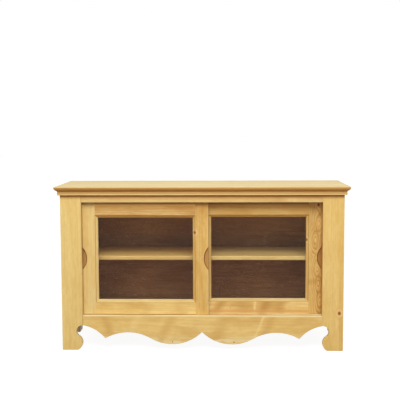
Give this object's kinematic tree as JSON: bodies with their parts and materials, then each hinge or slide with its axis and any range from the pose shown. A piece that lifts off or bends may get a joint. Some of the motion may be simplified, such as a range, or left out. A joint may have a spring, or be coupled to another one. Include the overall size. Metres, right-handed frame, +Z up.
{
  "type": "tv cabinet",
  "caption": "Low pine television cabinet with a moulded top, scrolled feet, a scalloped apron and glazed doors that slide past each other in front of a shelf.",
  "frame": {"origin": "on the floor under the middle of the whole cabinet", "axes": "+X to the right along the cabinet, the front faces -Y, +Z up"},
  "size_m": [1.246, 0.402, 0.703],
  "materials": {
    "pine_top": "satin varnish",
    "pine_frame": "satin varnish",
    "pine_door": "satin varnish",
    "pine_inside": "waxed",
    "hardboard": "smooth hardboard",
    "glass": "clear float glass",
    "steel": "zinc plated"
  },
  "bodies": {
    "carcass": {"apron": "pine_frame", "back_panel": "hardboard", "back_pins": "steel", "bottom_board": "pine_inside", "bottom_cleat_front": "pine_inside", "bottom_cleat_left": "pine_inside", "bottom_cleat_right": "pine_inside", "centre_partition": "pine_inside", "cleat_screws": "steel", "door_stop_left": "pine_inside", "door_stop_right": "pine_inside", "front_post_left": "pine_frame", "front_post_right": "pine_frame", "lower_track": "pine_inside", "rear_bottom_rail": "pine_inside", "rear_top_rail": "pine_inside", "shelf_centre_cleat_left": "pine_inside", "shelf_centre_cleat_right": "pine_inside", "shelf_left": "pine_inside", "shelf_right": "pine_inside", "shelf_side_cleat_left": "pine_inside", "shelf_side_cleat_right": "pine_inside", "side_bottom_rail_left": "pine_frame", "side_bottom_rail_right": "pine_frame", "side_front_stile_left": "pine_frame", "side_front_stile_right": "pine_frame", "side_panel_left": "pine_frame", "side_panel_right": "pine_frame", "side_rear_stile_left": "pine_frame", "side_rear_stile_right": "pine_frame", "side_top_rail_left": "pine_frame", "side_top_rail_right": "pine_frame", "top_blocks": "pine_inside", "top_board": "pine_top", "top_moulding_front": "pine_top", "top_moulding_left": "pine_top", "top_moulding_right": "pine_top", "top_rail": "pine_frame", "top_screws": "steel", "upper_track": "pine_inside"},
    "left_door": {"left_door_bead_bottom": "pine_door", "left_door_bead_left": "pine_door", "left_door_bead_right": "pine_door", "left_door_bead_top": "pine_door", "left_door_bottom_rail": "pine_door", "left_door_glass": "glass", "left_door_left_stile": "pine_door", "left_door_right_stile": "pine_door", "left_door_top_rail": "pine_door"},
    "right_door": {"right_door_bead_bottom": "pine_door", "right_door_bead_left": "pine_door", "right_door_bead_right": "pine_door", "right_door_bead_top": "pine_door", "right_door_bottom_rail": "pine_door", "right_door_glass": "glass", "right_door_left_stile": "pine_door", "right_door_right_stile": "pine_door", "right_door_top_rail": "pine_door"}
  },
  "joints": [
    {"name": "left_door_slide", "type": "slide", "parent": "carcass", "child": "left_door", "axis": [1, 0, 0], "range_m": [0, 0.48395]},
    {"name": "right_door_slide", "type": "slide", "parent": "carcass", "child": "right_door", "axis": [1, 0, 0], "range_m": [-0.48395, 0]}
  ]
}
